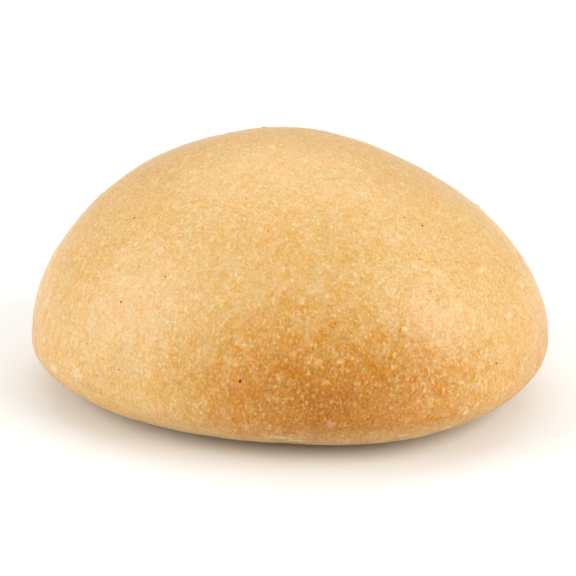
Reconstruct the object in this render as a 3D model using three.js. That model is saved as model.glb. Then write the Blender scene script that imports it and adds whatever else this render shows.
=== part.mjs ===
// A bread roll: one piece of soft wheat dough, proved and baked free on a flat tray.
// It has a domed smooth crust, a low belly all round, a side that tucks in below the belly and a
// flat base. Millimetres, +Z up. The roll's length lies along X and the origin is in the middle
// of the base. Directions are angles seen from above, counted from +X towards +Y.
import * as THREE from 'three';
import { mergeVertices } from 'three/addons/utils/BufferGeometryUtils.js';

// Overall size of the roll.
const LENGTH = 100;
const DEPTH = 81;
const HEIGHT = 50;

// The belly is the widest line of the side. It lies higher on one side than on the other.
const BELLY_HEIGHT = 10.2;
const BELLY_TILT = { share: 0.168, towards: radians(319) };

// The flat base reaches this share of the way from the middle out to the belly.
const BASE_SHARE = 0.572;

// The crown's round profile is drawn in by this share of its radius, half way up. It is a
// little fuller across one diagonal than across the other.
const CROWN_DRAWN_IN = 0.025;
const CROWN_SKEW = { share: 0.0053, towards: radians(124) };

// The crown leans: its top stands this far from the middle of the base.
const TOP_LEAN = { x: -1.7, y: 0.4 };

// Hand-shaped dough is no true ellipse. Each lobe count swells the outline by a share of its
// radius, the most in the given direction. The lobes are full at the front and fade to the back.
const FRONT = radians(-75);
const OUTLINE_LOBES = [
  { count: 3, share: 0.0089, towards: radians(85) },
  { count: 4, share: 0.0123, towards: radians(42) },
  { count: 5, share: 0.0033, towards: radians(37.6) },
  { count: 6, share: 0.0038, towards: radians(19.4) },
];

// Broad soft unevenness of the crown, where gas pushed the dough up or let it sink: each wave
// has its height, its wavelengths along X and Y, and where it starts.
const SWELLS = [
  { height: 0.16, alongX: 46, alongY: 61, start: 0.6 },
  { height: 0.12, alongX: 33, alongY: -38, start: 2.1 },
  { height: 0.08, alongX: -24, alongY: 27, start: 4.0 },
];

// Fineness of the faceted solid.
const STEPS_ROUND = 108;
const STEPS_CROWN = 26;
const STEPS_TUCK = 8;

const CRUST_COLOUR = 0xe9b873;
const CRUST_ROUGHNESS = 0.5;

function radians(degrees) {
  return (degrees * Math.PI) / 180;
}

// The profile of a half section in unit lengths: x is the share of the way out to the belly, and
// y runs from -1 at the base over 0 at the belly to 1 at the top. Both arcs are quarter circles.
function unitProfile() {
  const points = [new THREE.Vector2(0, -1)];
  for (let i = 0; i < STEPS_TUCK; i += 1) {
    const angle = (Math.PI / 2) * (i / STEPS_TUCK);
    const out = BASE_SHARE + (1 - BASE_SHARE) * Math.sin(angle);
    points.push(new THREE.Vector2(out, -Math.cos(angle)));
  }
  for (let i = 0; i < STEPS_CROWN; i += 1) {
    const angle = (Math.PI / 2) * (i / STEPS_CROWN);
    points.push(new THREE.Vector2(Math.cos(angle), Math.sin(angle)));
  }
  points.push(new THREE.Vector2(0, 1));
  return points;
}

// Radius of the belly line, seen from above, in the given direction.
function outlineRadius(direction) {
  const ellipse = 1 / Math.hypot(Math.cos(direction) / (LENGTH / 2), Math.sin(direction) / (DEPTH / 2));
  const frontShare = (1 + Math.cos(direction - FRONT)) / 2;
  let swell = 0;
  for (const lobe of OUTLINE_LOBES) {
    swell += lobe.share * Math.cos(lobe.count * (direction - lobe.towards));
  }
  return ellipse * (1 + frontShare * swell);
}

// Height of the belly line above the base in the given direction.
function bellyHeight(direction) {
  return BELLY_HEIGHT * (1 + BELLY_TILT.share * Math.cos(direction - BELLY_TILT.towards));
}

// A point of the crown, between the belly (up = 0) and the top (up = 1).
function crownPoint(direction, out, up) {
  const skew = CROWN_SKEW.share * Math.cos(2 * (direction - CROWN_SKEW.towards));
  const bulge = 1 + (skew - CROWN_DRAWN_IN) * 4 * (out * up) ** 2;
  const belly = bellyHeight(direction);
  const radius = outlineRadius(direction) * out * bulge;
  const lean = (up * bulge) ** 2;
  return new THREE.Vector3(
    radius * Math.cos(direction) + TOP_LEAN.x * lean,
    radius * Math.sin(direction) + TOP_LEAN.y * lean,
    belly + (HEIGHT - belly) * up * bulge,
  );
}

// A point of the tuck below the belly (down = 0) or of the flat base (down = 1).
function tuckPoint(direction, out, down) {
  const radius = outlineRadius(direction) * out;
  return new THREE.Vector3(
    radius * Math.cos(direction),
    radius * Math.sin(direction),
    bellyHeight(direction) * (1 - down),
  );
}

// Lift of the crown's unevenness at a place. It fades out towards the belly.
function swellLift(point, up) {
  let lift = 0;
  for (const swell of SWELLS) {
    const phase = 2 * Math.PI * (point.x / swell.alongX + point.y / swell.alongY);
    lift += swell.height * Math.sin(phase + swell.start);
  }
  return lift * up;
}

// Turns the unit profile round the Z axis, then moves each vertex to its place on the roll.
function rollGeometry() {
  const turned = new THREE.LatheGeometry(unitProfile(), STEPS_ROUND);
  turned.deleteAttribute('normal');
  turned.deleteAttribute('uv');
  turned.rotateX(Math.PI / 2);
  const geometry = mergeVertices(turned, 1e-5);
  const position = geometry.attributes.position;
  for (let i = 0; i < position.count; i += 1) {
    const unit = new THREE.Vector3().fromBufferAttribute(position, i);
    const direction = Math.atan2(unit.y, unit.x);
    const out = Math.hypot(unit.x, unit.y);
    const onCrown = unit.z >= 0;
    const point = onCrown ? crownPoint(direction, out, unit.z) : tuckPoint(direction, out, -unit.z);
    if (onCrown) {
      point.z += swellLift(point, unit.z);
    }
    position.setXYZ(i, point.x, point.y, point.z);
  }
  return fitToSize(geometry);
}

// Brings the shaped dough to the overall size, with its middle on the Z axis and its base at 0.
function fitToSize(geometry) {
  geometry.computeBoundingBox();
  const { min, max } = geometry.boundingBox;
  geometry.translate(-(min.x + max.x) / 2, -(min.y + max.y) / 2, -min.z);
  geometry.scale(LENGTH / (max.x - min.x), DEPTH / (max.y - min.y), HEIGHT / (max.z - min.z));
  return geometry;
}

const crust = new THREE.MeshStandardMaterial({
  name: 'baked_crust',
  color: CRUST_COLOUR,
  roughness: CRUST_ROUGHNESS,
  metalness: 0,
});

const roll = new THREE.Mesh(rollGeometry(), crust);
roll.name = 'bread_roll';

const part = new THREE.Group();
part.add(roll);

export default part;
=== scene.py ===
"""A soft oval bread roll: a domed pale-gold crust over a low belly and a flat base.

The crust is one fine mesh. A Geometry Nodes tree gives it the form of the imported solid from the
same named sizes, and a second tree raises its blisters and puckers. A third tree scatters dark
flecks of bran over it. Sizes in the classes and inside the trees are millimetres, and every
finished mesh is in metres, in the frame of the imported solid.
"""

import logging
import math
from dataclasses import dataclass
from enum import Enum
from functools import partial
from typing import Callable, Union

import bpy
from mathutils import Matrix, Vector

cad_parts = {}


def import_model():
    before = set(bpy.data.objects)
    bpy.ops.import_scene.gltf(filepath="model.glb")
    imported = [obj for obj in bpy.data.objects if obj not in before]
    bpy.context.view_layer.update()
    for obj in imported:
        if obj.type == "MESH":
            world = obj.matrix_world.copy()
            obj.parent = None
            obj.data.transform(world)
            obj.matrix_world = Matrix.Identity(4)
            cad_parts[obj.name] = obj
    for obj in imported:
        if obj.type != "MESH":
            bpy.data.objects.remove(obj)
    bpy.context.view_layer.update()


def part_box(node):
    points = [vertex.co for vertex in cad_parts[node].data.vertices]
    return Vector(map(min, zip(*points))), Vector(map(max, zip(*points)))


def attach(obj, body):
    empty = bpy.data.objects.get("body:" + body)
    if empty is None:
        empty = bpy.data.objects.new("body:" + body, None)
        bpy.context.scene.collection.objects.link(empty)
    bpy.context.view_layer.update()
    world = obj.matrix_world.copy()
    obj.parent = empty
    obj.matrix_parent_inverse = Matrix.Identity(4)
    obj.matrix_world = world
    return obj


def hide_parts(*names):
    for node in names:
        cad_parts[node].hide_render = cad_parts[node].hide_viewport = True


log = logging.getLogger("bread_roll")

MM = 0.001
QUARTER_TURN = math.pi / 2

MAP_RANGE = "ShaderNodeMapRange"
MIX = "ShaderNodeMix"
NOISE = "ShaderNodeTexNoise"
VORONOI = "ShaderNodeTexVoronoi"
COMBINE = "ShaderNodeCombineXYZ"
SEPARATE = "ShaderNodeSeparateXYZ"
SET_POSITION = "GeometryNodeSetPosition"
STORE = "GeometryNodeStoreNamedAttribute"

Socket = bpy.types.NodeSocket
Sockets = bpy.types.bpy_prop_collection
Adder = Callable[..., Socket]
Value = Union[Socket, float, int, tuple, str, None]
Ramp = tuple[float, float, float, float]
Triple = tuple[float, float, float]


class Sum(Enum):
    """Operations of the node that works on numbers."""

    ADD, SUBTRACT, MULTIPLY, DIVIDE, MULTIPLY_ADD, MAXIMUM, LESS_THAN = range(7)
    SINE, COSINE, ARCCOSINE, ARCTAN2 = range(7, 11)


class VectorSum(Enum):
    """Operations of the node that works on vectors."""

    ADD, SUBTRACT, MULTIPLY, DIVIDE, MULTIPLY_ADD, SCALE = range(6)
    DOT_PRODUCT, LENGTH, NORMALIZE, TANGENT = range(6, 10)


Kind = Union[str, Sum, VectorSum]


class Mask(Enum):
    """Attributes that the trees leave on the crust for its material to read."""

    BAKE = "bake"
    BELOW = "below_belly"
    BASE = "flat_base"


@dataclass(frozen=True)
class Lobe:
    """One regular swelling of the roll's outline.

    Attributes:
        count: how many times it swells in a full turn.
        share: how far it swells, as a share of the radius.
        towards: direction of one of its highest points, in degrees.
    """

    count: int
    share: float
    towards: float


@dataclass(frozen=True)
class Swell:
    """One broad wave of the crown, where gas pushed the dough up or let it sink.

    Attributes:
        height: millimetres.
        along_x: wavelength along X, in millimetres.
        along_y: wavelength along Y, in millimetres.
        start: phase at the middle, in radians.
    """

    height: float
    along_x: float
    along_y: float
    start: float


@dataclass(frozen=True)
class BrownedSide:
    """One side of the roll that the oven browned more.

    Attributes:
        towards: direction of its middle, in degrees.
        reach: how far round it goes from its middle, in degrees.
        strength: how far it browned, from 0 to 1.
        top: height where the browning ends, in millimetres.
        middle: height up to which it is full.
    """

    towards: float
    reach: float
    strength: float
    top: float
    middle: float


def linear_rgb(hex_colour: str) -> tuple[float, float, float, float]:
    """Turns an sRGB hex colour into the linear one that a shader socket holds.

    Args:
        hex_colour: such as "#f0c27c".

    Returns:
        Red, green, blue and an alpha of 1.
    """
    channels = [int(hex_colour[i : i + 2], 16) / 255 for i in (1, 3, 5)]
    linear = [c / 12.92 if c <= 0.04045 else ((c + 0.055) / 1.055) ** 2.4 for c in channels]
    return (*linear, 1.0)


def direction(degrees: float) -> Triple:
    """Returns the level unit vector at an angle, seen from above and counted from +X."""
    return (math.cos(math.radians(degrees)), math.sin(math.radians(degrees)), 0.0)


def add_node(
    tree: bpy.types.NodeTree, kind: Kind, *values: Value, out: Union[int, str] = 0, **settings
) -> Union[Socket, bpy.types.Node]:
    """Adds a node, with its settings and its inputs, and returns one of its outputs.

    Args:
        tree: the node tree that gets the node.
        kind: the node's type, or the sum that a math node does.
        values: what goes into the inputs that are switched on, in their order. A socket is
            linked, None leaves an input as it is, and anything else is its value.
        out: the output to return, as its name or its place among those switched on.
        settings: the node's own properties by name, set before its inputs.

    Returns:
        The output socket, or the node itself where it has no outputs.
    """
    if isinstance(kind, (Sum, VectorSum)):
        settings["operation"] = kind.name
        kind = "ShaderNodeMath" if isinstance(kind, Sum) else "ShaderNodeVectorMath"
    node = tree.nodes.new(kind)
    for name, setting in settings.items():
        setattr(node, name, setting)
    for socket, value in zip([s for s in node.inputs if s.enabled], values):
        if isinstance(value, Socket):
            tree.links.new(value, socket)
        elif value is not None:
            socket.default_value = value
    outputs = [s for s in node.outputs if s.enabled]
    if not outputs:
        return node
    return outputs[out] if isinstance(out, int) else next(s for s in outputs if s.name == out)


def new_tree(
    name: str, sizes: dict[str, float], takes_mesh: bool
) -> tuple[bpy.types.NodeTree, Adder, Sockets]:
    """Makes an empty Geometry Nodes tree with named inputs for its sizes.

    Args:
        name: the tree's name.
        sizes: each number input's name and its usual value.
        takes_mesh: whether the tree works on the mesh that it is put on.

    Returns:
        The tree with a geometry output, what adds a node to it, and the sockets of its inputs.
    """
    tree = bpy.data.node_groups.new(name, "GeometryNodeTree")
    tree.interface.new_socket("Geometry", in_out="OUTPUT", socket_type="NodeSocketGeometry")
    if takes_mesh:
        tree.interface.new_socket("Geometry", in_out="INPUT", socket_type="NodeSocketGeometry")
    for label, value in sizes.items():
        kind = "NodeSocketInt" if isinstance(value, int) else "NodeSocketFloat"
        tree.interface.new_socket(label, in_out="INPUT", socket_type=kind).default_value = value
    return tree, partial(add_node, tree), tree.nodes.new("NodeGroupInput").outputs


def grown(
    name: str, tree: bpy.types.NodeTree, sizes: dict[str, float], start: bpy.types.Mesh
) -> bpy.types.Object:
    """Runs a tree on a mesh and turns the result into a plain object at the origin.

    Args:
        name: the new object's name.
        tree: the Geometry Nodes tree.
        sizes: values for its named inputs.
        start: the mesh that it starts from.

    Returns:
        The finished object, with no modifier left.
    """
    holder = bpy.data.objects.new(f"{name}_holder", start)
    bpy.context.scene.collection.objects.link(holder)
    modifier = holder.modifiers.new("grow", "NODES")
    modifier.node_group = tree
    for item in tree.interface.items_tree:
        if item.in_out == "INPUT" and item.name in sizes:
            modifier[item.identifier] = sizes[item.name]
    depsgraph = bpy.context.evaluated_depsgraph_get()
    mesh = bpy.data.meshes.new_from_object(holder.evaluated_get(depsgraph), depsgraph=depsgraph)
    holder.modifiers.remove(modifier)
    bpy.data.objects.remove(holder)
    mesh.name = name
    piece = bpy.data.objects.new(name, mesh)
    bpy.context.scene.collection.objects.link(piece)
    return piece


def waves(add: Adder, place: Socket, size: Value, detail: float = 1.0, evenness: float = 0.55) -> Socket:
    """Returns a soft noise, about 0 on average.

    Args:
        add: adds a node.
        place: position.
        size: width of its largest blobs, in the same unit.
        detail: how many finer layers it has.
        evenness: strength of each layer, as a share of the coarser one's.
    """
    scale = add(Sum.DIVIDE, 0.5, size)
    return add(Sum.SUBTRACT, add(NOISE, place, scale, detail, evenness), 0.5)


@dataclass(frozen=True)
class RollForm:
    """The roll's overall form: a domed crown, a low belly, a tuck below it and a flat base.

    Attributes:
        low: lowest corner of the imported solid, in millimetres.
        high: its highest corner, in millimetres.
        belly_height: usual height of the widest line of the side.
        belly_tilt: how much higher it lies on one side, as a share.
        belly_towards: direction of that side, in degrees.
        base_share: how far out to the belly the flat base reaches, as a share.
        drawn_in: how far the crown's round profile is drawn in half way up, as a share.
        skew: how much fuller the crown is across one diagonal, as a share.
        skew_towards: direction of that diagonal, in degrees.
        top_lean: how far the top stands from the middle of the base.
        front: direction in which the lobes are full, in degrees.
        lobes: the outline's swellings.
        swells: the crown's broad unevenness.
        browned: the sides that browned more.
        full_browning: share of a browned side's reach in which it is browned in full.
        base_fade: how far in from the base's rim that browning ends, as a share.
        belly_angle: turn from the top of the starting ball that becomes the belly, in degrees.
        base_angle: turn that becomes the rim of the base, in degrees.
        ball_steps: cuts along each edge of the cube that the starting ball is made from.
    """

    low: Vector
    high: Vector
    belly_height: float = 10.2
    belly_tilt: float = 0.168
    belly_towards: float = 319.0
    base_share: float = 0.572
    drawn_in: float = 0.025
    skew: float = 0.0053
    skew_towards: float = 124.0
    top_lean: tuple[float, float] = (-1.7, 0.4)
    front: float = -75.0
    lobes: tuple[Lobe, ...] = (
        Lobe(3, 0.0089, 85.0),
        Lobe(4, 0.0123, 42.0),
        Lobe(5, 0.0033, 37.6),
        Lobe(6, 0.0038, 19.4),
    )
    swells: tuple[Swell, ...] = (
        Swell(0.16, 46.0, 61.0, 0.6),
        Swell(0.12, 33.0, -38.0, 2.1),
        Swell(0.08, -24.0, 27.0, 4.0),
    )
    browned: tuple[BrownedSide, ...] = (
        BrownedSide(-66.0, 51.0, 1.0, 33.5, 14.0),
        BrownedSide(112.0, 58.0, 0.85, 32.0, 13.0),
        BrownedSide(176.0, 50.0, 0.35, 24.0, 12.0),
        BrownedSide(8.0, 50.0, 0.35, 24.0, 12.0),
    )
    full_browning: float = 0.08
    base_fade: float = 0.4
    belly_angle: float = 104.0
    base_angle: float = 142.0
    ball_steps: int = 126

    def build(self) -> bpy.types.Object:
        """Makes the plain form, smooth and without relief.

        Returns:
            The form's object, with a mask for its browning, its tuck and its base.
        """
        sizes = {
            "Length": self.high.x - self.low.x,
            "Depth": self.high.y - self.low.y,
            "Height": self.high.z - self.low.z,
            "Belly height": self.belly_height,
            "Belly tilt": self.belly_tilt,
            "Base share": self.base_share,
            "Drawn in": self.drawn_in,
            "Skew": self.skew,
            "Ball steps": self.ball_steps,
        }
        tree, add, given = new_tree("roll_form", sizes, takes_mesh=False)
        ball = self._ball(add, given["Ball steps"])
        place, masks = self._place(add, given)
        for mask, share in masks.items():
            ball = add(STORE, ball, None, mask.value, share)
        shaped = add(SET_POSITION, ball, None, place)
        lowest = add("GeometryNodeBoundBox", shaped, out="Min")
        highest = add("GeometryNodeBoundBox", shaped, out="Max")
        here = add("GeometryNodeInputPosition")
        fitted = add(
            MAP_RANGE, here, lowest, highest, tuple(self.low), tuple(self.high), data_type="FLOAT_VECTOR",
            clamp=False,
        )
        result = add(SET_POSITION, shaped, None, fitted)
        result = add("GeometryNodeRealizeInstances", result)
        result = add("GeometryNodeSetMaterial", result)
        add("NodeGroupOutput", result)
        return grown("roll_form", tree, sizes, bpy.data.meshes.new("empty"))

    def _ball(self, add: Adder, steps: Value) -> Socket:
        """Makes a ball of even small squares from a finely cut cube.

        Args:
            add: adds a node.
            steps: cuts along each edge of the cube.

        Returns:
            The ball, of radius 1.
        """
        corners = add(Sum.ADD, steps, 1)
        cube = add("GeometryNodeMeshCube", (2.0, 2.0, 2.0), corners, corners, corners)
        here = add("GeometryNodeInputPosition")
        evened = add(VectorSum.MULTIPLY, here, (QUARTER_TURN / 2,) * 3)
        evened = add(VectorSum.TANGENT, evened)
        outward = add(VectorSum.NORMALIZE, evened)
        return add(SET_POSITION, cube, None, outward)

    def _place(self, add: Adder, given: Sockets) -> tuple[Socket, dict]:
        """Works out where each point of the ball lies on the roll.

        Args:
            add: adds a node.
            given: the sockets of the tree's named inputs.

        Returns:
            The place on the roll, and the share that each mask holds there.
        """
        belly_turn = math.radians(self.belly_angle)
        base_turn = math.radians(self.base_angle)
        here = add("GeometryNodeInputPosition")
        level = add(VectorSum.MULTIPLY, here, (1.0, 1.0, 0.0))
        heading = add(VectorSum.NORMALIZE, level)
        reach = add(VectorSum.LENGTH, level)
        height = add(SEPARATE, here, out="Z")
        turn = add(Sum.ARCTAN2, reach, height)

        crown_turn = add(MAP_RANGE, turn, 0.0, belly_turn, 0.0, QUARTER_TURN)
        tuck_turn = add(MAP_RANGE, turn, belly_turn, base_turn, 0.0, QUARTER_TURN)
        base_out = add(MAP_RANGE, turn, base_turn, math.pi, 1.0, 0.0)
        up = add(Sum.COSINE, crown_turn)
        crown_out = add(Sum.SINE, crown_turn)
        down = add(Sum.SINE, tuck_turn)
        inward = add(Sum.COSINE, tuck_turn)
        tuck_out = add(MAP_RANGE, inward, 0.0, 1.0, given["Base share"], 1.0)
        out = add(Sum.MULTIPLY, crown_out, tuck_out)
        out = add(Sum.MULTIPLY, out, base_out)

        towards_belly = direction(self.belly_towards)
        belly_side = add(VectorSum.DOT_PRODUCT, heading, towards_belly)
        belly_rise = add(Sum.MULTIPLY_ADD, belly_side, given["Belly tilt"], 1.0)
        belly = add(Sum.MULTIPLY, belly_rise, given["Belly height"])
        bulge = self._bulge(add, given, heading, crown_out, up)
        radius = add(Sum.MULTIPLY, self._outline(add, given, heading), out)
        radius = add(Sum.MULTIPLY, radius, bulge)
        rise = add(Sum.MULTIPLY, up, bulge)
        lean = add(Sum.MULTIPLY, rise, rise)
        sideways = add(VectorSum.SCALE, (*self.top_lean, 0.0), lean)
        level_place = add(VectorSum.SCALE, heading, radius)
        level_place = add(VectorSum.ADD, level_place, sideways)

        crown_depth = add(Sum.SUBTRACT, given["Height"], belly)
        left = add(Sum.SUBTRACT, 1.0, down)
        low_part = add(Sum.MULTIPLY, belly, left)
        upright = add(Sum.MULTIPLY_ADD, crown_depth, rise, low_part)
        swell = self._swell(add, level_place)
        upright = add(Sum.MULTIPLY_ADD, swell, up, upright)
        lifted = add(COMBINE, 0.0, 0.0, upright)
        place = add(VectorSum.ADD, level_place, lifted)
        inside = add(Sum.SUBTRACT, 1.0, base_out)
        off_base = add(MAP_RANGE, inside, 0.0, self.base_fade, 1.0, 0.0)
        bake = self._bake(add, heading, upright)
        bake = add(Sum.MULTIPLY, bake, off_base)
        return place, {Mask.BAKE: bake, Mask.BELOW: down, Mask.BASE: inside}

    def _bake(self, add: Adder, heading: Socket, upright: Socket) -> Socket:
        """Returns how brown the oven left a place, from 0 to 1.

        Args:
            add: adds a node.
            heading: level unit vector from the middle.
            upright: height above the base, in millimetres.
        """
        bake = 0.0
        for side in self.browned:
            ahead = add(VectorSum.DOT_PRODUCT, heading, direction(side.towards))
            turned = add(Sum.ARCCOSINE, ahead)
            across = add(Sum.DIVIDE, turned, math.radians(side.reach))
            above = add(MAP_RANGE, upright, side.middle, side.top, 0.0, 1.0, clamp=False)
            above = add(Sum.MAXIMUM, above, 0.0)
            away = add(COMBINE, across, above, 0.0)
            away = add(VectorSum.LENGTH, away)
            here = add(MAP_RANGE, away, 1.0, self.full_browning, 0.0, side.strength)
            bake = add(Sum.MAXIMUM, bake, here)
        return bake

    def _bulge(self, add: Adder, given: Sockets, heading: Socket, crown_out: Socket, up: Socket) -> Socket:
        """Returns how much fuller than a round arc the crown is, as a share of its radius.

        Args:
            add: adds a node.
            given: the sockets of the tree's named inputs.
            heading: level unit vector from the middle.
            crown_out: share of the way out to the belly.
            up: share of the way up to the top.
        """
        diagonal = direction(self.skew_towards)
        across = add(VectorSum.DOT_PRODUCT, heading, diagonal)
        across = add(Sum.MULTIPLY, across, across)
        across = add(Sum.MULTIPLY_ADD, across, 2.0, -1.0)
        skew = add(Sum.MULTIPLY, across, given["Skew"])
        fuller = add(Sum.SUBTRACT, skew, given["Drawn in"])
        half_way = add(Sum.MULTIPLY, crown_out, up)
        half_way = add(Sum.MULTIPLY, half_way, half_way)
        # The square is a quarter at its highest, half way up
        fuller = add(Sum.MULTIPLY, fuller, 4.0)
        return add(Sum.MULTIPLY_ADD, fuller, half_way, 1.0)

    def _outline(self, add: Adder, given: Sockets, heading: Socket) -> Socket:
        """Returns the belly line's radius, seen from above.

        Args:
            add: adds a node.
            given: the sockets of the tree's named inputs.
            heading: level unit vector from the middle.
        """
        size = add(COMBINE, given["Length"], given["Depth"], 1.0)
        stretched = add(VectorSum.DIVIDE, heading, size)
        stretch = add(VectorSum.LENGTH, stretched)
        ellipse = add(Sum.DIVIDE, 0.5, stretch)
        x = add(SEPARATE, heading)
        y = add(SEPARATE, heading, out="Y")
        angle = add(Sum.ARCTAN2, y, x)
        swell = 0.0
        for lobe in self.lobes:
            start = -lobe.count * math.radians(lobe.towards)
            phase = add(Sum.MULTIPLY_ADD, angle, lobe.count, start)
            wave = add(Sum.COSINE, phase)
            swell = add(Sum.MULTIPLY_ADD, wave, lobe.share, swell)
        to_front = add(VectorSum.DOT_PRODUCT, heading, direction(self.front))
        front_share = add(Sum.MULTIPLY_ADD, to_front, 0.5, 0.5)
        fuller = add(Sum.MULTIPLY_ADD, front_share, swell, 1.0)
        return add(Sum.MULTIPLY, ellipse, fuller)

    def _swell(self, add: Adder, level_place: Socket) -> Socket:
        """Returns the lift of the crown's broad unevenness at a place.

        Args:
            add: adds a node.
            level_place: the place, seen from above.
        """
        lift = 0.0
        for swell in self.swells:
            turns = (2 * math.pi / swell.along_x, 2 * math.pi / swell.along_y, 0.0)
            phase = add(VectorSum.DOT_PRODUCT, level_place, turns)
            phase = add(Sum.ADD, phase, swell.start)
            wave = add(Sum.SINE, phase)
            lift = add(Sum.MULTIPLY_ADD, wave, swell.height, lift)
        return lift


class Patch(Enum):
    """What makes a placed patch of the skin differ in colour; one of them also serves as painted shade."""

    FLOUR = "#ecd9bd"
    TOASTED_FLOUR_AND_PAINTED_SHADE = "#b98638"
    # Toasted flour, and painted shade in the arc beside the crater blister
    DRIED_SKIN = "#f6dcae"
    DRIED_BROWN_SKIN = "#e6bd76"


@dataclass(frozen=True)
class Smear:
    """One small patch of the skin, at the place where the photo shows it.

    Attributes:
        place: position of its middle, in millimetres.
        half_width: half its width along the side, in millimetres.
        half_height: half its height up the side, in millimetres.
        strength: how strongly it covers the skin, from 0 to 1.
        patch: what it is.
    """

    place: Triple
    half_width: float
    half_height: float
    strength: float
    patch: Patch = Patch.DRIED_SKIN


SMEARS = (
    Smear((-38.9, -26.8, 9.5), 2.0, 1.1, 0.75, Patch.FLOUR),
    Smear((-32.7, -31.7, 10.9), 1.6, 1.5, 0.6, Patch.FLOUR),
    Smear((-29.0, -34.0, 9.6), 4.2, 1.1, 0.6, Patch.TOASTED_FLOUR_AND_PAINTED_SHADE),
    Smear((8.4, -37.3, 5.4), 3.6, 0.6, 0.7, Patch.FLOUR),
    Smear((10.9, -36.0, 4.4), 2.6, 0.5, 0.6, Patch.FLOUR),
    Smear((30.3, -31.0, 5.7), 1.6, 0.55, 0.7, Patch.FLOUR),
    Smear((37.0, -25.6, 5.7), 1.7, 0.7, 0.85, Patch.FLOUR),
    Smear((40.5, -25.0, 8.8), 0.9, 1.4, 0.7, Patch.FLOUR),
    Smear((34.2, -31.5, 15.4), 0.5, 0.8, 0.6),
    Smear((43.4, -21.9, 14.3), 0.5, 1.1, 0.5),
    Smear((2.6, -39.6, 7.9), 1.1, 0.9, 0.4, Patch.FLOUR),
    Smear((18.2, -38.2, 9.6), 1.2, 1.1, 0.3, Patch.FLOUR),
    Smear((39.7, -10.2, 31.4), 1.5, 0.7, 0.7),
    Smear((45.3, -11.2, 23.5), 1.2, 0.9, 0.6),
    Smear((45.6, -1.5, 25.6), 1.2, 0.9, 0.5),
    Smear((25.8, -17.7, 39.3), 1.1, 0.9, 0.6),
    Smear((33.6, -18.7, 33.5), 1.1, 0.7, 0.6),
    Smear((30.0, -20.4, 35.2), 1.5, 1.1, 0.5),
    Smear((29.9, -30.2, 25.9), 0.8, 1.4, 0.55),
    Smear((43.0, -18.6, 22.0), 0.6, 1.0, 0.4),
    Smear((8.8, -39.2, 18.1), 0.8, 0.9, 0.75, Patch.DRIED_BROWN_SKIN),
    Smear((15.8, -37.4, 21.2), 1.3, 0.9, 0.6, Patch.DRIED_BROWN_SKIN),
    Smear((8.6, -39.8, 14.0), 0.5, 0.7, 0.8, Patch.DRIED_BROWN_SKIN),
    Smear((0.5, -39.2, 20.1), 1.0, 0.9, 0.5, Patch.DRIED_BROWN_SKIN),
    Smear((13.1, -36.4, 25.0), 1.2, 0.8, 0.6, Patch.DRIED_BROWN_SKIN),
    Smear((22.8, -36.6, 17.8), 0.7, 1.1, 0.7, Patch.DRIED_BROWN_SKIN),
    Smear((19.7, -36.5, 21.5), 0.9, 0.7, 0.7, Patch.DRIED_BROWN_SKIN),
    Smear((21.1, -36.6, 19.9), 0.7, 0.6, 0.6, Patch.DRIED_BROWN_SKIN),
    Smear((17.3, -38.0, 17.7), 0.9, 0.8, 0.55, Patch.DRIED_BROWN_SKIN),
    Smear((-3.6, -38.9, 21.0), 1.0, 1.4, 0.5, Patch.DRIED_BROWN_SKIN),
    Smear((-17.4, -26.9, 35.7), 1.4, 0.9, 0.4),
    Smear((-16.3, -38.4, 16.0), 1.2, 1.6, 0.35),
    # Painted shade: a dark arc on the left of the crater blister
    Smear((34.2, -23.3, 29.3), 0.6, 2.0, 0.7, Patch.TOASTED_FLOUR_AND_PAINTED_SHADE),
)


# How much longer the skin's pattern is up the side than across
UPWARD = 1.35


@dataclass(frozen=True)
class Marks:
    """One kind of pale mark that a noise leaves on the skin.

    Attributes:
        size: width of the noise's blobs, in millimetres.
        ramp: noise where a mark starts and where it is full, and its strength at both.
        crowding: how strongly the marks crowd.
        drawn: how the place is drawn together, so that the marks come out longer.
    """

    size: float
    ramp: Ramp
    crowding: float = 0.18
    drawn: Triple = (1.0, 1.0, 1.0 / UPWARD)


@dataclass(frozen=True)
class Spots:
    """One kind of small round spot, scattered over the skin.

    Attributes:
        spacing: usual distance between two, in millimetres.
        missing: share of the places that have none.
        largest: the largest one's radius, as a share of the spacing.
        edge: width of its soft edge, as a share of the spacing.
        strength: how strong its middle is, from 0 to 1.
    """

    spacing: float
    missing: float
    largest: float
    edge: float
    strength: float


@dataclass(frozen=True)
class Skin:
    """What the patterns of the crust's material read.

    Attributes:
        add: adds a node to the material's tree.
        place: position in millimetres.
        longer: the place with its height drawn together.
        browned: how brown the oven left the skin, from 0 to 1.
        dusted: how floury it is, from 0 to 1.
        grain: its finest noise, about 0 on average.
        mottle: how much browner than its surroundings it is.
    """

    add: Adder
    place: Socket
    longer: Socket
    browned: Socket
    dusted: Socket
    grain: Socket
    mottle: Socket


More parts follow.
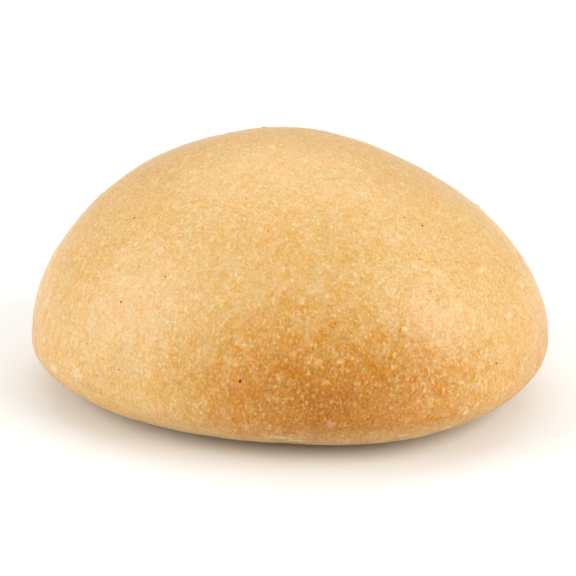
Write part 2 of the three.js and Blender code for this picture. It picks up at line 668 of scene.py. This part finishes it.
@dataclass(frozen=True)
class BakedCrust:
    """The skin of a soft wheat roll: dough that dried, blistered finely and browned in the oven.

    To the eye it is a pale gold with a soft gloss, deeper where it browned, with cream flecks
    where tiny blisters lifted the skin, a fine grain all over that carries painted fine shade and
    light, and a few fine pores darkened by painted shade. Below the belly it is dry, matte and
    floury, its rim lightened in part by painted bounce light. Sizes are in millimetres. A ramp
    holds where something starts, where it is full, and its strength at both.

    Attributes:
        bake_colours: share of browning and colour there.
        cream: colour where the skin dried pale.
        fleck: colour of a lifted blister.
        browned_fleck: its colour where the crust browned.
        pore: colour of the painted shade in a pore.
        flour_and_painted_light: colour of the floury rim, its flour lightened in part by painted bounce
            light.
        tray_brown: colour of the base, which browned on the tray.
        bake: how baked the palest side is, and how much more the brownest side is.
        patch: width of the broad patches, and how much browner or paler they are.
        mottles: the same for each layer of the mottling.
        grain_size: width of the finest grain, drawn as coarse as it needs to show.
        grain_bake: how much browner its dark side is.
        painted_grain_shade: how strongly the grain's painted fine shade and light lightens and darkens the
            palest skin.
        browned_painted_grain_shade: how much more it does so where the skin browned.
        lightness: usual lightness of the skin, as a share of its colour's.
        mottle_light: how far the mottling's lightness is evened out.
        blush: width of the faintly redder and yellower patches.
        blush_colour: how far they go in red, green and blue.
        tint: width of the cream areas of the fine pattern.
        tint_ramp: ramp of the noise that makes them.
        tint_fade: how far they fade on the browned sides and on the base.
        crowd_size: width of the areas in which pale marks crowd.
        marks: the fine flecks, and the wrinkles that run level round the crown.
        spots: the round flecks of lifted blisters.
        unevenness: waves in each millimetre of the noise that makes the spots uneven.
        pores: the fine pores, which painted shade darkens.
        painted_pore_shade: how far the painted shade darkens them.
        dusting: ramp of the floury rim over the way down from the belly.
        cloud_size: width of the floury rim's clouds.
        cloud_middle: the noise at which a cloud neither thickens nor thins the floury rim.
        cloudiness: how strongly the clouds do.
        tray_ramp: ramp of the tray's browning over the way in from the base's rim.
        ragged_size: width of the unevenness in a smear's edge.
        raggedness: how uneven that edge is.
        smear_edge: where a smear ends and where it is full, as shares of its half size.
        smears: the small patches that the photo shows, each at its own place.
        pucker_size: width of the finest puckers.
        crease: how the place is drawn together for the level creases.
        depths: how far flecks, pores, grain, puckers and creases stand out.
        shine: how strongly the skin reflects.
        browned_shine: the same where the crust browned and dried.
        gloss: roughness of the smooth skin.
        dry: roughness of the floury skin.
    """

    bake_colours: tuple[tuple[float, str], ...] = (
        (0.0, "#e3b56c"),
        (0.15, "#dda957"),
        (0.35, "#d49738"),
        (0.6, "#c77e08"),
        (0.85, "#b86f00"),
        (1.0, "#a65d00"),
    )
    cream: str = "#e1bd84"
    fleck: str = "#f4d59c"
    browned_fleck: str = "#e6b868"
    pore: str = "#9c6228"
    flour_and_painted_light: str = "#d8b37c"
    tray_brown: str = "#c08c50"
    bake: tuple[float, float] = (0.15, 0.7)
    patch: tuple[float, float] = (13.0, 0.25)
    mottles: tuple[tuple[float, float], ...] = ((2.6, 0.15), (2.6 / 3, 0.13))
    grain_size: float = 0.25
    grain_bake: float = 0.3
    painted_grain_shade: float = 0.37
    browned_painted_grain_shade: float = 0.44
    lightness: float = 0.9
    mottle_light: float = 0.5
    blush: float = 1.7
    blush_colour: Triple = (0.12, -0.05, 0.0)
    tint: float = 0.9
    tint_ramp: Ramp = (-0.16, 0.24, 0.0, 0.68)
    tint_fade: float = 0.9
    crowd_size: float = 3.5
    marks: tuple[Marks, ...] = (
        Marks(0.22, (0.09, 0.24, 0.0, 0.5)),
        Marks(0.42, (0.14, 0.26, 0.0, 0.36)),
        Marks(0.32, (0.12, 0.24, 0.0, 0.3), crowding=0.3, drawn=(0.4, 0.4, 1.0)),
    )
    spots: tuple[Spots, ...] = (Spots(3.0, 0.35, 0.24, 0.11, 0.46), Spots(0.86, 0.35, 0.56, 0.26, 0.56))
    unevenness: float = 1.4
    pores: Spots = Spots(1.5, 0.45, 0.14, 0.05, 1.0)
    painted_pore_shade: float = 0.6
    dusting: Ramp = (0.05, 0.62, 0.0, 1.0)
    cloud_size: float = 2.6
    cloud_middle: float = 0.1
    cloudiness: float = 1.8
    tray_ramp: Ramp = (0.02, 0.3, 0.0, 0.8)
    ragged_size: float = 0.5
    raggedness: float = 1.8
    smear_edge: tuple[float, float] = (0.95, 0.2)
    smears: tuple[Smear, ...] = SMEARS
    pucker_size: float = 0.8
    crease: Triple = (0.45, 0.45, 1.0)
    depths: tuple[float, ...] = (0.07, -0.08, 0.07, 0.07, 0.08)
    shine: float = 0.6
    browned_shine: float = 0.36
    gloss: float = 0.32
    dry: float = 0.75

    def build(self) -> bpy.types.Material:
        """Makes the crust's material and returns it."""
        material = bpy.data.materials.new("baked_wheat_crust")
        material.use_nodes = True
        tree = material.node_tree
        add = partial(add_node, tree)
        skin = self._skin(add)
        fleck = self._flecks(skin)
        pore = self._spots(add, skin.place, self.pores)
        lifted = add(MIX, skin.browned, *map(linear_rgb, (self.fleck, self.browned_fleck)), data_type="RGBA")
        colour = add(MIX, fleck, self._colour(skin), lifted, data_type="RGBA")
        # Painted shade: each pore's recess is darkened in colour
        sunk = add(Sum.MULTIPLY, pore, self.painted_pore_shade)
        colour = add(MIX, sunk, colour, linear_rgb(self.pore), data_type="RGBA")
        finish = {
            "Base Color": self._shaded(skin, colour),
            "Specular IOR Level": add(MAP_RANGE, skin.browned, 0.0, 1.0, self.shine, self.browned_shine),
            "Roughness": add(MAP_RANGE, skin.dusted, 0.0, 1.0, self.gloss, self.dry),
            "Normal": self._relief(skin, fleck, pore),
        }
        for name, value in finish.items():
            tree.links.new(value, tree.nodes["Principled BSDF"].inputs[name])
        return material

    def _skin(self, add: Adder) -> Skin:
        """Makes what every pattern reads and returns it.

        Args:
            add: adds a node.
        """
        place = add("ShaderNodeTexCoord", out="Object")
        place = add(VectorSum.SCALE, place, 1 / MM)
        longer = add(VectorSum.MULTIPLY, place, (1.0, 1.0, 1.0 / UPWARD))
        browned = add("ShaderNodeAttribute", out="Fac", attribute_name=Mask.BAKE.value)
        below = add("ShaderNodeAttribute", out="Fac", attribute_name=Mask.BELOW.value)
        dusted = add(MAP_RANGE, below, *self.dusting)
        mottle = 0.0
        for size, spread in self.mottles:
            mottle = add(Sum.MULTIPLY_ADD, waves(add, longer, size), spread, mottle)
        return Skin(add, place, longer, browned, dusted, waves(add, longer, self.grain_size), mottle)

    def _spots(self, add: Adder, place: Socket, spots: Spots) -> Socket:
        """Returns how strong one kind of spot is.

        Args:
            add: adds a node.
            place: position in millimetres.
            spots: the kind of spot.
        """
        away = add(VORONOI, place, 1.0 / spots.spacing)
        chance = add(SEPARATE, away.node.outputs["Color"])
        radius = add(MAP_RANGE, chance, spots.missing, 1.0, 0.0, spots.largest)
        depth = add(Sum.SUBTRACT, radius, away)
        return add(MAP_RANGE, depth, 0.0, spots.edge, 0.0, spots.strength)

    def _flecks(self, skin: Skin) -> Socket:
        """Returns how pale the skin is where small blisters lifted it, from 0 to 1.

        Args:
            skin: what the patterns read.
        """
        add = skin.add
        crowd = waves(add, skin.place, self.crowd_size, 2.0)
        flecks = 0.0
        for marks in self.marks:
            noise = waves(add, add(VectorSum.MULTIPLY, skin.place, marks.drawn), marks.size)
            noise = add(Sum.MULTIPLY_ADD, crowd, marks.crowding, noise)
            flecks = add(Sum.MAXIMUM, flecks, add(MAP_RANGE, noise, *marks.ramp))
        jitter = add(NOISE, skin.longer, self.unevenness, 1.5, 0.6, out="Color")
        jittered = add(VectorSum.ADD, jitter, skin.longer)
        for spots in self.spots:
            flecks = add(Sum.MAXIMUM, flecks, self._spots(add, jittered, spots))
        return flecks

    def _colour(self, skin: Skin) -> Socket:
        """Returns the skin's own colour, without its flecks and pores.

        Args:
            skin: what the patterns read.
        """
        add = skin.add
        least, more = self.bake
        size, spread = self.patch
        bake = add(Sum.MULTIPLY_ADD, skin.browned, more, least)
        bake = add(Sum.MULTIPLY_ADD, skin.grain, -self.grain_bake, bake)
        bake = add(Sum.MULTIPLY_ADD, waves(add, skin.longer, size), spread, bake)
        bake = add(Sum.ADD, bake, skin.mottle)
        colour = add("ShaderNodeValToRGB", bake)
        stops = colour.node.color_ramp.elements
        for share, _ in self.bake_colours[1:-1]:
            stops.new(share)
        for stop, (share, hex_colour) in zip(stops, self.bake_colours):
            stop.position = share
            stop.color = linear_rgb(hex_colour)
        colour, inside = self._dusted(skin, colour)
        ragged = waves(add, skin.place, self.ragged_size, 2.0, 0.7)
        ragged = add(Sum.MULTIPLY, ragged, self.raggedness)
        for smear in self.smears:
            colour = self._smeared(skin, ragged, colour, smear)
        tint = waves(add, skin.longer, self.tint, 1.0, 0.6)
        tint = add(MAP_RANGE, tint, *self.tint_ramp)
        kept = add(Sum.MULTIPLY_ADD, skin.browned, -self.tint_fade, 1.0)
        kept = add(Sum.MULTIPLY_ADD, inside, -self.tint_fade, kept, use_clamp=True)
        tint = add(Sum.MULTIPLY, tint, kept)
        return add(MIX, tint, colour, linear_rgb(self.cream), data_type="RGBA")

    def _dusted(self, skin: Skin, colour: Socket) -> tuple[Socket, Socket]:
        """Lays the floury rim, lightened in part by painted bounce light, and the browned base over the
        skin.

        Args:
            skin: what the patterns read.
            colour: the skin's colour without them.

        Returns:
            The colour with them, and how far inside the base a place is.
        """
        add = skin.add
        cloud = waves(add, skin.place, self.cloud_size, 4.0, 0.65)
        cloud = add(Sum.SUBTRACT, cloud, self.cloud_middle)
        floury = add(Sum.MULTIPLY_ADD, cloud, self.cloudiness, skin.dusted)
        floury = add(Sum.MULTIPLY, floury, skin.dusted)
        inside = add("ShaderNodeAttribute", out="Fac", attribute_name=Mask.BASE.value)
        inside = add(MAP_RANGE, inside, *self.tray_ramp)
        # The rim's pale colour is flour, lightened in part by painted bounce light under the belly
        dry = add(MIX, inside, linear_rgb(self.flour_and_painted_light), linear_rgb(self.tray_brown), data_type="RGBA")
        return add(MIX, floury, colour, dry, data_type="RGBA"), inside

    def _smeared(self, skin: Skin, ragged: Socket, colour: Socket, smear: Smear) -> Socket:
        """Returns the skin's colour with one small patch laid over it.

        Args:
            skin: what the patterns read.
            ragged: the noise that makes the patch's edge uneven.
            colour: the skin's colour without it.
            smear: the smear.
        """
        add = skin.add
        apart = add(VectorSum.SUBTRACT, skin.place, smear.place)
        apart = add(VectorSum.DIVIDE, apart, (smear.half_width, smear.half_width, smear.half_height))
        away = add(Sum.ADD, ragged, add(VectorSum.LENGTH, apart))
        cover = add(MAP_RANGE, away, *self.smear_edge, 0.0, smear.strength)
        return add(MIX, cover, colour, linear_rgb(smear.patch.value), data_type="RGBA")

    def _shaded(self, skin: Skin, colour: Socket) -> Socket:
        """Returns the colour with the painted fine shade and light of its grain, the lightness of its
        mottling, and its redder and yellower patches.

        Args:
            skin: what the patterns read.
            colour: the colour without it.
        """
        add = skin.add
        painted_grain_shade = add(Sum.MULTIPLY_ADD, skin.browned, self.browned_painted_grain_shade, self.painted_grain_shade)
        # Painted fine shade and light: the grain lightens and darkens the colour as its tiny relief would be
        # lit
        light = add(Sum.MULTIPLY_ADD, skin.grain, painted_grain_shade, self.lightness)
        light = add(Sum.MULTIPLY_ADD, skin.mottle, self.mottle_light, light)
        colour = add(VectorSum.SCALE, colour, light)
        blush = waves(add, skin.place, self.blush, 2.0)
        blush = add(VectorSum.MULTIPLY_ADD, blush, self.blush_colour, (1.0, 1.0, 1.0))
        return add(VectorSum.MULTIPLY, colour, blush)

    def _relief(self, skin: Skin, fleck: Socket, pore: Socket) -> Socket:
        """Returns the skin's normal, with its finest relief in real depth.

        Args:
            skin: what the patterns read.
            fleck: where the skin is lifted.
            pore: where it has a pore.
        """
        add = skin.add
        pucker = waves(add, skin.longer, self.pucker_size, 2.0)
        crease = waves(add, add(VectorSum.MULTIPLY, skin.place, self.crease), self.pucker_size / 2)
        normal = None
        for height, depth in zip((fleck, pore, skin.grain, pucker, crease), self.depths):
            normal = add("ShaderNodeBump", 1.0, abs(depth) * MM, None, height, normal, invert=depth < 0)
        return normal


@dataclass(frozen=True)
class WheatBran:
    """Toasted wheat bran: milled husk that baked dry. To the eye it is a matte, uneven dark brown.

    Attributes:
        dark: its usual colour.
        light: its colour on a worn edge.
        grain_size: width of its mottling, in millimetres.
        worn: noise where its light colour starts and where it is full, and its share at both.
        roughness: how matte it is.
        shine: how strongly it reflects, where 0.5 is usual.
    """

    dark: str = "#260d04"
    light: str = "#4f260e"
    grain_size: float = 0.15
    worn: Ramp = (-0.1, 0.2, 0.0, 1.0)
    roughness: float = 0.8
    shine: float = 0.15

    def build(self) -> bpy.types.Material:
        """Makes the bran's material and returns it."""
        material = bpy.data.materials.new("toasted_wheat_bran")
        material.use_nodes = True
        tree = material.node_tree
        add = partial(add_node, tree)
        shader = tree.nodes["Principled BSDF"]
        place = add("ShaderNodeTexCoord", out="Object")
        mottle = waves(add, place, self.grain_size * MM, 1.0, 0.5)
        mottle = add(MAP_RANGE, mottle, *self.worn)
        colour = add(MIX, mottle, linear_rgb(self.dark), linear_rgb(self.light), data_type="RGBA")
        tree.links.new(colour, shader.inputs["Base Color"])
        shader.inputs["Roughness"].default_value = self.roughness
        shader.inputs["Specular IOR Level"].default_value = self.shine
        return material


@dataclass(frozen=True)
class Blister:
    """One larger blister of the crust, at its own place.

    Attributes:
        place: position, in millimetres.
        radius: millimetres.
        height: millimetres.
        taller: how much longer it is up the side than across.
        crater: how deep its middle has sunk, as a share of its height.
    """

    place: Triple
    radius: float
    height: float
    taller: float = 1.0
    crater: float = 0.0


@dataclass(frozen=True)
class CrustRelief:
    """The crust's real relief: soft dimples, fine puckers and small blisters.

    Attributes:
        dimple_size: width of the soft dimples, in millimetres.
        dimple_depth: how far they go up and down.
        pucker_size: width of the puckers.
        pucker_depth: how far they go up and down.
        blister_spacing: spacing of the small blisters.
        missing: share of their places that have none.
        blister_shares: smallest and largest radius of one, as shares of the spacing.
        blister_height: the largest blister's height.
        upward: how much longer the puckers and blisters are up the side than across.
        unevenness: waves in each millimetre of the noise that bends the small blisters.
        bend: how far it bends them, in millimetres.
        placed: the larger blisters.
        dome_top: share of a larger blister's radius that is at its full height.
        crater_edge: share of it in which the middle has sunk.
        fade: how far down the tuck the relief starts to fade and ends, and its share at both.
    """

    dimple_size: float = 5.0
    dimple_depth: float = 0.5
    pucker_size: float = 1.3
    pucker_depth: float = 0.2
    blister_spacing: float = 3.4
    missing: float = 0.4
    blister_shares: tuple[float, float] = (0.12, 0.34)
    blister_height: float = 0.22
    upward: float = 1.4
    unevenness: float = 0.7
    bend: float = 1.2
    placed: tuple[Blister, ...] = ()
    dome_top: float = 0.25
    crater_edge: float = 0.6
    fade: Ramp = (0.8, 1.0, 1.0, 0.0)

    def raise_on(self, form: bpy.types.Object) -> bpy.types.Object:
        """Raises the relief on the plain form.

        Args:
            form: the form, in millimetres.

        Returns:
            The crust with its relief, as a new object.
        """
        sizes = {
            "Dimple size": self.dimple_size,
            "Dimple depth": self.dimple_depth,
            "Pucker size": self.pucker_size,
            "Pucker depth": self.pucker_depth,
            "Blister spacing": self.blister_spacing,
            "Blister height": self.blister_height,
        }
        tree, add, given = new_tree("crust_relief", sizes, takes_mesh=True)
        here = add("GeometryNodeInputPosition")
        longer = add(VectorSum.MULTIPLY, here, (1.0, 1.0, 1.0 / self.upward))
        dimples = waves(add, here, given["Dimple size"], 1.5, 0.5)
        rise = add(Sum.MULTIPLY, dimples, given["Dimple depth"])
        puckers = waves(add, longer, given["Pucker size"], 1.5, 0.5)
        rise = add(Sum.MULTIPLY_ADD, puckers, given["Pucker depth"], rise)
        blisters = self._blisters(add, longer, given["Blister spacing"])
        rise = add(Sum.MULTIPLY_ADD, blisters, given["Blister height"], rise)
        for blister in self.placed:
            dome = self._dome(add, here, blister)
            rise = add(Sum.MULTIPLY_ADD, dome, blister.height, rise)
        below = add("GeometryNodeInputNamedAttribute", Mask.BELOW.value)
        off_base = add(MAP_RANGE, below, *self.fade)
        rise = add(Sum.MULTIPLY, rise, off_base)
        outward = add("GeometryNodeInputNormal")
        offset = add(VectorSum.SCALE, outward, rise)
        crust = add(SET_POSITION, given["Geometry"], None, None, offset)
        crust = add("GeometryNodeSetShadeSmooth", crust)
        crust = add("GeometryNodeRealizeInstances", crust)
        crust = add("GeometryNodeSetMaterial", crust, None, BakedCrust().build())
        add("NodeGroupOutput", crust)
        return grown("crust", tree, sizes, form.data)

    def _blisters(self, add: Adder, place: Socket, spacing: Socket) -> Socket:
        """Returns the small blisters, from 0 to 1.

        Args:
            add: adds a node.
            place: position in millimetres.
            spacing: usual distance between two of them.
        """
        scale = add(Sum.DIVIDE, 1.0, spacing)
        jitter = add(NOISE, place, self.unevenness, 1.0, 0.5, out="Color")
        place = add(VectorSum.MULTIPLY_ADD, jitter, (self.bend,) * 3, place)
        away = add(VORONOI, place, scale)
        chance = add(SEPARATE, away.node.outputs["Color"])
        radius = add(MAP_RANGE, chance, self.missing, 1.0, *self.blister_shares)
        near = add(Sum.DIVIDE, away, radius)
        dome = add(MAP_RANGE, near, 1.0, 0.0, 0.0, 1.0, interpolation_type="SMOOTHSTEP")
        strength = add(MAP_RANGE, chance, self.missing, 1.0, 0.0, 1.0)
        return add(Sum.MULTIPLY, dome, strength)

    def _dome(self, add: Adder, here: Socket, blister: Blister) -> Socket:
        """Returns one larger blister's form, from 0 to 1.

        Args:
            add: adds a node.
            here: position in millimetres.
            blister: the blister.
        """
        apart = add(VectorSum.SUBTRACT, here, blister.place)
        apart = add(VectorSum.MULTIPLY, apart, (1.0, 1.0, 1.0 / blister.taller))
        away = add(VectorSum.LENGTH, apart)
        away = add(Sum.DIVIDE, away, blister.radius)
        smooth = {"interpolation_type": "SMOOTHSTEP"}
        dome = add(MAP_RANGE, away, 1.0, self.dome_top, 0.0, 1.0, **smooth)
        hollow = add(MAP_RANGE, away, self.crater_edge, 0.0, 0.0, -blister.crater, **smooth)
        return add(Sum.ADD, dome, hollow)


@dataclass(frozen=True)
class Speck:
    """One dark fleck of bran at its own place.

    Attributes:
        place: position, in millimetres.
        half_width: half its width, in millimetres.
        half_length: half its length up the side.
    """

    place: Triple
    half_width: float
    half_length: float


@dataclass(frozen=True)
class BranSpecks:
    """Dark flecks of wheat bran that baked into the skin.

    Attributes:
        placed: the ones that the photo shows.
        hidden_from: direction that the photo was taken from.
        density: how many there are in each square millimetre where the photo can't see.
        smallest: smallest half length of those, in millimetres.
        largest: their largest half length.
        slimness: width of those, as a share of their length.
        thickness: half the thickness of each fleck.
        edge_on: cosine of the angle to it beyond which the photo can't see.
        lowest: how far down the tuck they go, as a share.
        seed: start of the random numbers.
    """

    placed: tuple[Speck, ...]
    hidden_from: Vector
    density: float = 0.0016
    smallest: float = 0.1
    largest: float = 0.3
    slimness: float = 0.6
    thickness: float = 0.05
    edge_on: float = -0.05
    lowest: float = 0.9
    seed: int = 4

    def scatter_on(self, crust: bpy.types.Object) -> bpy.types.Object:
        """Sets the flecks into the crust.

        Args:
            crust: the finished crust, in millimetres.

        Returns:
            All the flecks as one object.
        """
        sizes = {
            "Density": self.density,
            "Smallest": self.smallest,
            "Largest": self.largest,
            "Thickness": self.thickness,
            "Seed": self.seed,
        }
        tree, add, given = new_tree("bran_specks", sizes, takes_mesh=True)
        outward = add("GeometryNodeInputNormal")
        facing = add(VectorSum.DOT_PRODUCT, outward, tuple(self.hidden_from))
        hidden = add(Sum.LESS_THAN, facing, self.edge_on)
        below = add("GeometryNodeInputNamedAttribute", Mask.BELOW.value)
        off_base = add(Sum.LESS_THAN, below, self.lowest)
        hidden = add(Sum.MULTIPLY, hidden, off_base)
        loose = add(
            "GeometryNodeDistributePointsOnFaces", given["Geometry"], hidden, given["Density"], given["Seed"]
        )
        length = add("FunctionNodeRandomValue", given["Smallest"], given["Largest"], None, given["Seed"])
        width = add(Sum.MULTIPLY, length, self.slimness)
        flat = add(COMBINE, width, length, given["Thickness"])
        flecks = tree.nodes.new("GeometryNodeJoinGeometry")
        loose = add(STORE, loose, None, "speck_size", flat, data_type="FLOAT_VECTOR")
        tree.links.new(loose, flecks.inputs[0])
        for speck in self.placed:
            point = add("GeometryNodePoints", 1, speck.place)
            flat = add(COMBINE, speck.half_width, speck.half_length, given["Thickness"])
            point = add(STORE, point, None, "speck_size", flat, data_type="FLOAT_VECTOR")
            tree.links.new(point, flecks.inputs[0])
        nearest = add("GeometryNodeProximity", given["Geometry"], out="Position")
        settled = add(SET_POSITION, flecks.outputs[0], None, nearest)
        outward = add("GeometryNodeInputNormal")
        outward = add(
            "GeometryNodeSampleNearestSurface", given["Geometry"], outward, data_type="FLOAT_VECTOR"
        )
        turn = add("FunctionNodeAlignRotationToVector", None, None, outward, axis="Z")
        fleck = add("GeometryNodeMeshIcoSphere", 1.0, 2)
        size = add("GeometryNodeInputNamedAttribute", "speck_size", data_type="FLOAT_VECTOR")
        specks = add("GeometryNodeInstanceOnPoints", settled, None, fleck, None, None, turn, size)
        specks = add("GeometryNodeRealizeInstances", specks)
        specks = add("GeometryNodeSetMaterial", specks, None, WheatBran().build())
        add("NodeGroupOutput", specks)
        return grown("bran_specks", tree, sizes, crust.data.copy())


PLACED_BLISTERS = (
    Blister((35.3, -22.5, 29.2), 1.5, 0.6, crater=1.1),
    Blister((29.8, -30.1, 26.1), 1.1, 0.4, taller=1.5),
    Blister((45.3, -11.2, 23.5), 1.3, 0.3),
    Blister((39.7, -10.2, 31.4), 1.2, 0.25),
    Blister((8.8, -39.2, 18.1), 0.9, 0.2),
    Blister((15.8, -37.4, 21.2), 1.1, 0.2),
)
PLACED_SPECKS = (
    Speck((-24.8, -19.0, 38.4), 0.2, 0.17),
    Speck((28.8, -11.8, 39.7), 0.21, 0.2),
    Speck((1.6, -39.9, 16.9), 0.19, 0.38),
    Speck((-23.6, -31.6, 26.6), 0.19, 0.17),
    Speck((-22.8, -36.5, 15.0), 0.15, 0.15),
    Speck((-15.2, -30.9, 32.2), 0.14, 0.12),
    Speck((44.8, -18.9, 16.7), 0.13, 0.17),
    Speck((2.7, -24.7, 40.8), 0.1, 0.1),
    Speck((16.3, -32.6, 30.6), 0.1, 0.1),
)


@dataclass(frozen=True)
class SoftBox:
    """One large soft lamp of the studio.

    Attributes:
        name: the lamp's name.
        turn: degrees to the right of the camera, seen from the roll.
        rise: degrees above the level.
        away: distance from the roll, in metres.
        size: width and height, in metres.
        power: watts.
    """

    name: str
    turn: float
    rise: float
    away: float
    size: tuple[float, float]
    power: float


@dataclass(frozen=True)
class Studio:
    """A plain pale floor, soft lamps and the camera of the photograph.

    Attributes:
        camera_turn: degrees that the camera stands to the right of the roll's own front.
        camera_rise: degrees above the level.
        camera_away: metres from the roll.
        frame_width: width of the picture at the roll, in metres.
        aim: the point in the middle of the picture, in metres.
        floor_size: side of the floor, in metres.
        floor_drop: how far the floor lies below the base, so that the two never coincide.
        paper: the floor's colour.
        paper_roughness: how matte it is.
        paper_shine: how strongly it reflects.
        surround: brightness of the even light from all round.
        lamps: the soft lamps.
    """

    camera_turn: float = 15.3
    camera_rise: float = 22.0
    camera_away: float = 0.70
    frame_width: float = 0.1105
    aim: Triple = (-0.0002, -0.0002, 0.0196)
    floor_size: float = 6.0
    floor_drop: float = 0.00005
    paper: str = "#f4f4f2"
    paper_roughness: float = 0.9
    paper_shine: float = 0.1
    surround: float = 0.6
    lamps: tuple[SoftBox, ...] = (
        SoftBox("right_softbox", 64.0, 30.0, 0.75, (0.62, 0.50), 3.8),
        SoftBox("left_softbox", -77.0, 24.0, 0.75, (0.60, 0.60), 3.3),
        SoftBox("overhead_softbox", 180.0, 62.0, 0.9, (1.1, 0.7), 2.8),
    )

    def heading(self, turn: float, rise: float) -> Vector:
        """Returns the unit vector from the roll at angles counted from the camera's side.

        Args:
            turn: degrees to the right of the camera.
            rise: degrees above the level.
        """
        level = Vector(direction(-90.0 + self.camera_turn + turn))
        steep = math.radians(rise)
        return level * math.cos(steep) + Vector((0.0, 0.0, math.sin(steep)))

    def place_facing(self, thing: bpy.types.Object, spot: Vector) -> None:
        """Puts a camera or a lamp at a spot, turned to the point that the picture is about.

        Args:
            thing: the camera or lamp.
            spot: where it stands, in metres.
        """
        aim = Vector(self.aim)
        thing.location = spot
        thing.rotation_euler = (aim - spot).to_track_quat("-Z", "Y").to_euler()
        bpy.context.scene.collection.objects.link(thing)

    def build_camera(self) -> bpy.types.Object:
        """Makes the camera and returns it."""
        lens = bpy.data.cameras.new("camera")
        lens.lens = lens.sensor_width * self.camera_away / self.frame_width
        lens.clip_end = 20.0
        camera = bpy.data.objects.new("camera", lens)
        self.place_facing(camera, Vector(self.aim) + self.camera_away * self.heading(0.0, self.camera_rise))
        bpy.context.scene.camera = camera
        return camera

    def build_lamps(self) -> None:
        """Makes the soft lamps and the even light from all round."""
        for lamp in self.lamps:
            light = bpy.data.lights.new(lamp.name, "AREA")
            light.shape = "RECTANGLE"
            light.size, light.size_y = lamp.size
            light.energy = lamp.power
            spot = Vector(self.aim) + lamp.away * self.heading(lamp.turn, lamp.rise)
            self.place_facing(bpy.data.objects.new(lamp.name, light), spot)
        world = bpy.data.worlds.new("white_room")
        world.use_nodes = True
        backdrop = world.node_tree.nodes["Background"]
        backdrop.inputs["Color"].default_value = (1.0, 1.0, 1.0, 1.0)
        backdrop.inputs["Strength"].default_value = self.surround
        bpy.context.scene.world = world

    def build_floor(self) -> bpy.types.Object:
        """Makes the plain pale floor and returns it."""
        half, below = self.floor_size / 2, -self.floor_drop
        mesh = bpy.data.meshes.new("floor")
        corners = [(-half, -half, below), (half, -half, below), (half, half, below), (-half, half, below)]
        mesh.from_pydata(corners, [], [(0, 1, 2, 3)])
        floor = bpy.data.objects.new("floor", mesh)
        bpy.context.scene.collection.objects.link(floor)
        # Matte paper: an even near-white without gloss, which shows only the roll's soft shadow
        paper = bpy.data.materials.new("matte_white_paper")
        paper.use_nodes = True
        shader = paper.node_tree.nodes["Principled BSDF"]
        shader.inputs["Base Color"].default_value = linear_rgb(self.paper)
        shader.inputs["Roughness"].default_value = self.paper_roughness
        shader.inputs["Specular IOR Level"].default_value = self.paper_shine
        mesh.materials.append(paper)
        return floor


def main() -> None:
    """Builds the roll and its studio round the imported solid, and reports each piece."""
    logging.basicConfig(level=logging.INFO, format="%(name)s: %(message)s")
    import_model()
    low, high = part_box("bread_roll")
    bpy.context.scene.view_settings.view_transform = "Standard"

    studio = Studio()
    studio.build_camera()
    studio.build_lamps()
    studio.build_floor()

    form = RollForm(low / MM, high / MM).build()
    crust = CrustRelief(placed=PLACED_BLISTERS).raise_on(form)
    camera_side = studio.heading(0.0, studio.camera_rise)
    specks = BranSpecks(PLACED_SPECKS, camera_side).scatter_on(crust)
    bpy.data.objects.remove(form)
    for piece in (crust, specks):
        piece.data.transform(Matrix.Scale(MM, 4))
        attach(piece, "root")
        log.info("%s: %d faces", piece.name, len(piece.data.polygons))
    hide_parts("bread_roll")


if __name__ == "__main__":
    main()
